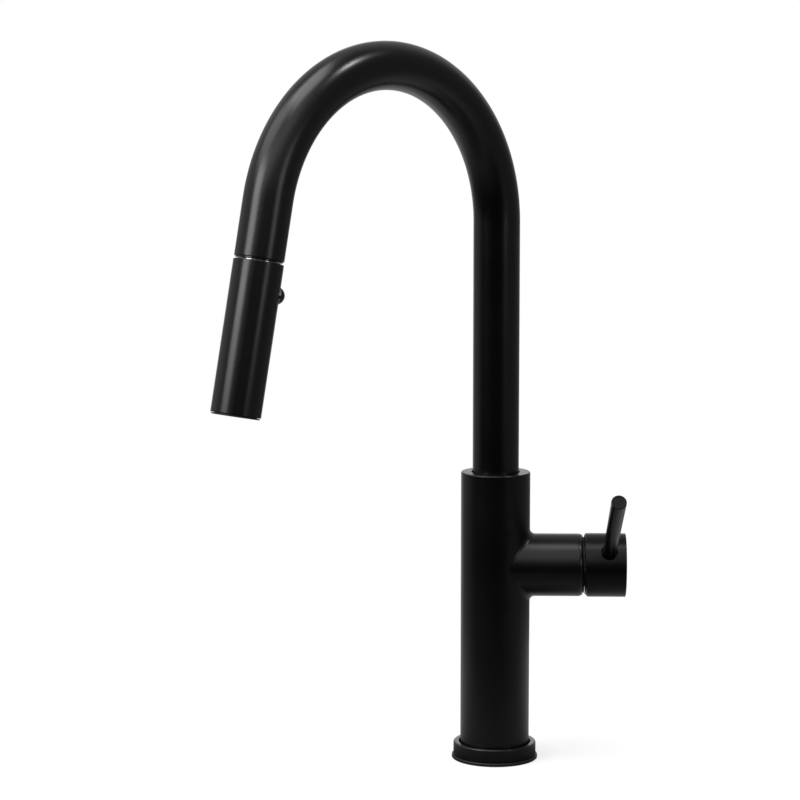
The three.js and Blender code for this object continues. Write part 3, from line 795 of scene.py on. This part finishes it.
skin = Skin()
hub_rows = [59.4, 60.8, 62.2, 63.6, 65, 66.4, 67.8, 69.5, 71.2, 73, 74.6, 76.2]
hub_wall = wall(
    skin, cylinder_point(BRANCH, HUB_R), FINE,
    [lambda angle: relief_height(angle, HUB_R), *[row * MM for row in hub_rows], HUB_END - 0.6 * MM],
    [
        (-7, 7, 2, 12, bore_outline(HUB_R, BRANCH, LEVER, LEVER_SOCKET_R)),
        (FINE // 2 - 4, FINE // 2 + 4, 1, 7, bore_outline(HUB_R, BRANCH, HUB_SCREW, HUB_SCREW_HOLE_R)),
    ],
)
hub_front = [
    hub_ring(skin, hub_lip),
    hub_ring(skin, hub_mouth),
    hub_ring(skin, lambda angle: polar(HUB_BORE_R, angle, HUB_BOSS)),
    hub_ring(skin, lambda angle: polar(HUB_BOSS_LOOP_R, angle, HUB_BOSS)),
    hub_ring(skin, lambda angle: square_point(STEM_SOCKET_HALF, angle, HUB_BOSS)),
    hub_ring(skin, lambda angle: square_point(STEM_SOCKET_HALF, angle, STEM_SOCKET_FLOOR)),
]
skin.chain([hub_wall[0], *hub_front])
skin.lid(hub_front[-1])
hub_end_rings = edge_rings(skin, BRANCH, [
    (HUB_R / MM, HUB_END / MM - 0.6, 0), (HUB_R / MM, HUB_END / MM, 0.45), (4, HUB_END / MM, 0),
])
skin.chain([hub_wall[1], *hub_end_rings])
skin.lid(hub_end_rings[-1])
lever_edge = hub_wall[2][0][0]
lever_floor = sunk(skin, lever_edge, LEVER, LEVER_SOCKET_FLOOR)
skin.chain([lever_edge, lever_floor])
lever_middle = LEVER @ Vector((0, 0, LEVER_SOCKET_FLOOR))
stud_mouth = skin.ring([lever_middle + (skin.points[i] - lever_middle) * STUD_SHARE for i in lever_floor])
stud_floor = sunk(skin, stud_mouth, LEVER, STUD_FLOOR)
skin.chain([lever_floor, stud_mouth, stud_floor])
skin.lid(stud_floor)
screw_edge = hub_wall[2][1][0]
screw_floor = sunk(skin, screw_edge, HUB_SCREW, HUB_SCREW_FLOOR)
skin.span(screw_edge, screw_floor)
skin.lid(screw_floor)
show_riding("handle_hub_shell", skin, "handle_hub")

turned_piece("lever", "lever_rod", LEVER, [
    (0, 8.3, 0), (3, 8.3, 0.3), (3, 15.3, 0), (4.05, 15.3, 0.3),
    (4.53, 91.3, 0.45), (3.5, 91.3, 0.1), (3.35, 91.12, 0.1), (0, 91.12, 0),
])
turned_piece("screw_cover", "hub_screw_plug", HUB_SCREW, [
    (0, 12.4, 0), (2.4, 12.4, 0.2), (2.4, 18.93, 0.35), (0, 18.93, 0),
], SMALL)


# ---- spout ----

show_riding("gooseneck_tube", swept(Skin(), [
    (TUBE_BORE_R / MM, (TUBE_FOOT - ARCH_Z) / MM, 0.2),
    (TUBE_R / MM, (TUBE_FOOT - ARCH_Z) / MM, 0.3),
    (TUBE_R / MM, (ARCH_LENGTH + TUBE_STRAIGHT) / MM, 0.3),
    (TUBE_BORE_R / MM, (ARCH_LENGTH + TUBE_STRAIGHT) / MM, 0.2),
], TUBE_COLUMNS, True), "spout_tube")

# The hose is two pieces: one from its foot to just short of the arch's end, and one from there into the head.
# A blend takes every point that lies past its end, and the hose's upright leg in the column does, so only the
# piece below the arch's end can be blended.
show_riding("braided_hose_in_spout", swept(Skin(), [
    (0, (HOSE_FOOT - ARCH_Z) / MM, 0),
    (HOSE_R / MM, (HOSE_FOOT - ARCH_Z) / MM, 0.4),
    (HOSE_R / MM, (ARCH_LENGTH - HOSE_PARTING) / MM, 0.1),
    (0, (ARCH_LENGTH - HOSE_PARTING) / MM, 0),
], HOSE_COLUMNS, False), "pull_out_hose")
hose_tail = show("braided_hose_to_head", swept(Skin(), [
    (0, ARCH_LENGTH / MM, 0),
    (HOSE_R / MM, ARCH_LENGTH / MM, 0.1),
    *[(HOSE_R / MM, ARCH_LENGTH / MM + HOSE_LOOP_PITCH * k, 0) for k in range(1, HOSE_LOOPS + 1)],
    (HOSE_R / MM, (ARCH_LENGTH + HOSE_END) / MM, 0.4),
    (0, (ARCH_LENGTH + HOSE_END) / MM, 0),
], HOSE_COLUMNS, False), "pull_out_hose")
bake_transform(hose_tail)

turned_piece("docking_socket", "dock_socket", HEAD, [
    (9.6, 12, 0.3), (12.5, 12, 0.3), (12.5, 32.8, 0), (13.3, 32.8, 0.1), (13.3, 33.3, 0.15), (9.6, 33.3, 0.8),
], FINE)
turned_piece("docking_magnet", "dock_magnet", HEAD, [
    (9.5, 5, 0.3), (12.5, 5, 0.3), (12.5, 11.7, 0.3), (9.5, 11.7, 0.3),
])


# ---- hose end and spray head ----

turned_piece("crimped_ferrule", "hose_ferrule", HEAD, [
    (7.3, 14, 0.1), (7.7, 14, 0.15), (7.7, 17, 0.2), (7.55, 17.6, 0.2), (7.55, 18.4, 0.2), (7.7, 19, 0.2),
    (7.7, 26, 0.15), (7.3, 26, 0.1),
])
turned_piece("head_inlet_collar", "inlet_collar", HEAD, [
    (8, 14, 0.2), (8.9, 14, 0.3), (8.9, 33.6, 0.3), (12, 33.6, 0.15), (12, 38, 0.3), (9, 38, 0),
    (9, 44.3, 0.3), (4, 44.3, 0.3), (4, 37.3, 0), (8, 37.3, 0.2),
])
turned_piece("docking_keeper", "dock_keeper_ring", HEAD, [
    (8, 12.3, 0.2), (9.2, 12.3, 0.3), (9.2, 13.7, 0.3), (8, 13.7, 0.2),
])

skin = Skin()
shells = []
for radius, edge in [(HEAD_R, 0.5 * MM), (HEAD_BORE_R, 0.3 * MM)]:
    shells.append(wall(
        skin, cylinder_point(HEAD, radius), FINE,
        [HEAD_TOP + edge, *levels(BUTTON_S, 1.5 * MM, 6), HEAD_BOTTOM - edge],
        [(*BUTTON_COLUMNS, 1, 13, bore_outline(radius, HEAD, BUTTON, BUTTON_HOLE_R))],
    ))
for end, height, way in [(0, HEAD_TOP, 1), (1, HEAD_BOTTOM, -1)]:
    rings = edge_rings(skin, HEAD, [
        (HEAD_R / MM, height / MM + 0.5 * way, 0),
        (HEAD_R / MM, height / MM, 0.3),
        (HEAD_BORE_R / MM, height / MM, 0.15),
        (HEAD_BORE_R / MM, height / MM + 0.3 * way, 0),
    ])
    skin.chain([shells[0][end], *rings, shells[1][end]])
skin.span(shells[0][2][0][0], shells[1][2][0][0])
show_riding("spray_head_shell", skin, "head_shell")

turned_piece("spray_face_ring", "face_ring", HEAD, [
    (10.9, 110, 0.2), (12, 110, 0.2), (12, 119.6, 0), (13.5, 119.6, 0.1), (13.5, 120.3, 0.3),
    (10.9, 120.3, 0.4),
], FINE)

NOZZLE_RINGS = [(8.15, 14), (9.75, 20)]      # each ring's radius in millimetres, and its nozzles

skin = turned(Skin(), HEAD, [
    (7.3, 114.5, 0.2), (10.6, 114.5, 0.2), (10.6, 118.8, 0.2), (7.3, 118.8, 0.2),
])
for radius, count in NOZZLE_RINGS:
    for i in range(count):
        spot = HEAD @ Matrix.Translation(polar(radius, TURN * i / count, 0) * MM)
        turned(skin, spot, [
            (0, 118.6, 0), (0.62, 118.6, 0), (0.5, 119.9, 0.12), (0.22, 119.9, 0), (0.2, 119.2, 0),
            (0, 119.2, 0),
        ], NOZZLE_COLUMNS)
show_riding("spray_nozzle_plate", skin, "nozzle_plate")

turned_piece("aerator_shell", "aerator_housing", HEAD, [
    (6.2, 100.3, 0.1), (7, 100.3, 0.2), (7, 119, 0.25), (6.2, 119, 0.15),
])

WIRE_PITCH = 0.85                # in millimetres, as are the other sizes of the screen
WIRE_R = 0.13
WIRE_SIDES = 6
WIRE_STEPS_PER_PITCH = 4
WIRES_EACH_SIDE = 6
SCREEN_R = 5.9
SCREEN_Z = 116.6


def wire(skin, offset, across):
    """One wavy wire of the aerator's woven screen, in millimetres on the screen's plane."""
    half = math.sqrt(SCREEN_R ** 2 - offset ** 2)
    count = round(half * 2 / WIRE_PITCH * WIRE_STEPS_PER_PITCH)
    parity = round(offset / WIRE_PITCH) + (1 if across else 0)
    rings = []
    for k in range(count + 1):
        along = -half + 2 * half * k / count
        lift = WIRE_R * math.cos(math.pi * (along / WIRE_PITCH + parity))
        ring = []
        for i in range(WIRE_SIDES):
            a = TURN * i / WIRE_SIDES
            side = offset + WIRE_R * math.cos(a)
            level = SCREEN_Z + lift + WIRE_R * math.sin(a)
            flat = (side, along) if across else (along, side)
            ring.append(HEAD @ (Vector((*flat, level)) * MM))
        rings.append(skin.ring(ring))
    skin.capped(rings)


skin = Skin()
for k in range(-WIRES_EACH_SIDE, WIRES_EACH_SIDE + 1):
    for across in (False, True):
        wire(skin, k * WIRE_PITCH, across)
show_riding("aerator_mesh", skin, "aerator_screen")

turned_piece("button_bezel", "button_rim", BUTTON, [
    (4.65, 12.3, 0.05), (5.0, 12.3, 0.05), (5.0, 14.2, 0.14), (4.65, 14.2, 0.14),
])

DOME_R = 5.2                     # of the button's dome, in millimetres
DOME_CENTRE = 12                 # its height on the button's axis
DOME_EDGE = 56                   # degrees from the axis at which the dome ends
DOME_STEP = 7

dome = []
for degrees in range(DOME_EDGE, 0, -DOME_STEP):
    a = math.radians(degrees)
    dome.append((DOME_R * math.sin(a), DOME_CENTRE + DOME_R * math.cos(a), 0))
turned_piece("spray_button", "push_button", BUTTON, [
    (0, 12.2, 0), (4.45, 12.2, 0.2), (4.45, 14.5, 0.15), *dome, (0, DOME_CENTRE + DOME_R, 0),
])

spring_low, spring_high = SPRING_SPAN
spring_steps = round(SPRING_TURNS * SPRING_STEPS_PER_TURN)
skin = Skin()
rings = []
for k in range(spring_steps + 1):
    a = TURN * SPRING_TURNS * k / spring_steps
    level = spring_low + (spring_high - spring_low) * k / spring_steps
    ring = []
    for i in range(SPRING_WIRE_SIDES):
        b = TURN * i / SPRING_WIRE_SIDES
        out = SPRING_R + SPRING_WIRE_R * math.cos(b)
        ring.append(BUTTON @ polar(out, a, level + SPRING_WIRE_R * math.sin(b)))
    rings.append(skin.ring(ring))
skin.capped(rings)
spring = show_riding("diverter_spring", skin, "button_spring")
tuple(JOINT["button_press"]["axis"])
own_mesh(spring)


# ---- the nodes that no piece stands for keep their CAD shape ----

for name, node in frame["nodes"].items():
    if not node.hide_render:
        node.data.materials.clear()
        node.data.materials.append(MATERIALS[SLOT_OF[name]])


# ---- studio ----

FLOOR_R = 0.34
FLOOR_Z = -0.2 * MM              # just under the gasket, so that their faces do not coincide
FLOOR_GLOW_TO_CAMERA = 0.72
FLOOR_GLOW_IN_FRONT = 0.1        # to the object's reflections, as are the rest
FLOOR_GLOW_BEHIND = 0.5
FLOOR_GLOW_SPAN = (-0.16, 0.09)  # metres along Y over which the one becomes the other
BASE_SHADE = 0.12                # how much of the glow is left at the base
BASE_SHADE_SPAN = (0.035, 0.08)  # metres from the axis over which it comes back
SPOUT_MIDDLE = Vector((-0.06, -0.06, 0.25))


def floor_material():
    """Pale to the camera. To the object's reflections, dim in front and by the base, and lit behind."""
    material, nodes, links, shader, where = node_tree("pale_floor")
    seen = nodes.new("ShaderNodeLightPath").outputs["Is Camera Ray"]
    blotch = noise(nodes, links, where, 9, 3)
    pale = mixed(nodes, links, blotch, (0.3, 0.3, 0.3), (0.32, 0.32, 0.32))
    tone = nodes.new("ShaderNodeMix")
    tone.data_type = "RGBA"
    tone.inputs["A"].default_value = (0.03, 0.03, 0.03, 1)
    links.new(seen, tone.inputs["Factor"])
    links.new(pale, tone.inputs["B"])
    links.new(tone.outputs["Result"], shader.inputs["Base Color"])
    shader.inputs["Roughness"].default_value = 0.8
    shader.inputs["Specular IOR Level"].default_value = 0.05
    shader.inputs["Emission Color"].default_value = (1, 1, 1, 1)
    parts = nodes.new("ShaderNodeSeparateXYZ")
    links.new(where, parts.inputs["Vector"])
    along_y = parts.outputs["Y"]
    lit = remapped(nodes, links, along_y, FLOOR_GLOW_IN_FRONT, FLOOR_GLOW_BEHIND, *FLOOR_GLOW_SPAN)
    distance = nodes.new("ShaderNodeVectorMath")
    distance.operation = "LENGTH"
    links.new(where, distance.inputs[0])
    shaded = nodes.new("ShaderNodeMath")
    shaded.operation = "MULTIPLY"
    links.new(lit, shaded.inputs[0])
    by_the_base = remapped(nodes, links, distance.outputs["Value"], BASE_SHADE, 1, *BASE_SHADE_SPAN)
    links.new(by_the_base, shaded.inputs[1])
    glow = nodes.new("ShaderNodeMix")
    glow.inputs["B"].default_value = FLOOR_GLOW_TO_CAMERA
    links.new(seen, glow.inputs["Factor"])
    links.new(shaded.outputs["Value"], glow.inputs["A"])
    links.new(glow.outputs["Result"], shader.inputs["Emission Strength"])
    return material


skin = Skin()
skin.lid(skin.ring(circle_points(UPRIGHT, FLOOR_R, FLOOR_Z, FINE)))
floor_mesh = bpy.data.meshes.new("floor")
floor_mesh.from_pydata(skin.points, [], skin.faces)
floor_mesh.materials.append(floor_material())
floor = bpy.data.objects.new("floor", floor_mesh)
bpy.context.scene.collection.objects.link(floor)


def toward(azimuth, elevation):
    """A direction from the faucet, in degrees. Azimuth 0 is the camera's side, and 90 is +X."""
    a = math.radians(azimuth)
    e = math.radians(elevation)
    return Vector((math.sin(a) * math.cos(e), -math.cos(a) * math.cos(e), math.sin(e)))


# Soft glows of the room round the faucet: azimuth, elevation, the angles from its middle at which
# a glow is full and at which it ends, and its radiance.
ROOM_GLOWS = [
    (22, 38, 6, 36, 0.5),
    (-24, 32, 4, 22, 0.9),
    (-15, 56, 15, 40, 0.8),
    (-82, 50, 8, 29, 2.6),
    (-108, 20, 12, 40, 0.42),
    (-125, -5, 25, 60, 0.08),
    (100, -5, 35, 75, 0.17),
    (180, 30, 20, 55, 0.45),
    (180, 8, 5, 17, 0.7),
    (-162, -34, 15, 45, 0.55),
    (0, -90, 25, 75, 0.33),
]


def studio_world():
    """White to the camera. To the object, a dark room with the soft ROOM_GLOWS."""
    world = bpy.data.worlds.new("studio")
    bpy.context.scene.world = world
    world.use_nodes = True
    nodes = world.node_tree.nodes
    links = world.node_tree.links
    background = nodes["Background"]
    background.inputs["Color"].default_value = (1, 1, 1, 1)
    way = nodes.new("ShaderNodeTexCoord").outputs["Generated"]
    total = None
    for azimuth, elevation, full, end, radiance in ROOM_GLOWS:
        nearness = nodes.new("ShaderNodeVectorMath")
        nearness.operation = "DOT_PRODUCT"
        nearness.inputs[1].default_value = toward(azimuth, elevation)
        links.new(way, nearness.inputs[0])
        glow = nodes.new("ShaderNodeMapRange")
        glow.interpolation_type = "SMOOTHSTEP"
        glow.inputs["From Min"].default_value = math.cos(math.radians(end))
        glow.inputs["From Max"].default_value = math.cos(math.radians(full))
        glow.inputs["To Max"].default_value = radiance
        links.new(nearness.outputs["Value"], glow.inputs["Value"])
        if total is None:
            total = glow.outputs["Result"]
            continue
        plus = nodes.new("ShaderNodeMath")
        links.new(total, plus.inputs[0])
        links.new(glow.outputs["Result"], plus.inputs[1])
        total = plus.outputs[0]
    seen = nodes.new("ShaderNodeLightPath").outputs["Is Camera Ray"]
    choose = nodes.new("ShaderNodeMix")
    choose.inputs["B"].default_value = 1.0
    links.new(total, choose.inputs["A"])
    links.new(seen, choose.inputs["Factor"])
    links.new(choose.outputs["Result"], background.inputs["Strength"])


studio_world()


def softbox(name, azimuth, elevation, distance, width, height, radiance):
    """A rectangular light that faces the spout."""
    way = toward(azimuth, elevation)
    data = bpy.data.lights.new(name, "AREA")
    data.shape = "RECTANGLE"
    data.size = width
    data.size_y = height
    data.energy = radiance * width * height * math.pi
    light = bpy.data.objects.new(name, data)
    light.location = SPOUT_MIDDLE + way * distance
    light.rotation_euler = way.to_track_quat("Z", "Y").to_euler()
    light.visible_camera = False
    bpy.context.scene.collection.objects.link(light)


softbox("overhead", -55, 81, 1.3, 0.85, 0.6, 4.2)
softbox("key_left", -52, 24, 1.5, 0.72, 0.66, 6.8)
softbox("fill_right", 47, 12, 1.6, 0.45, 0.5, 2.2)
softbox("lamp_right", 80, 58, 1.6, 0.07, 0.2, 100)

bpy.context.scene.view_settings.view_transform = "Standard"
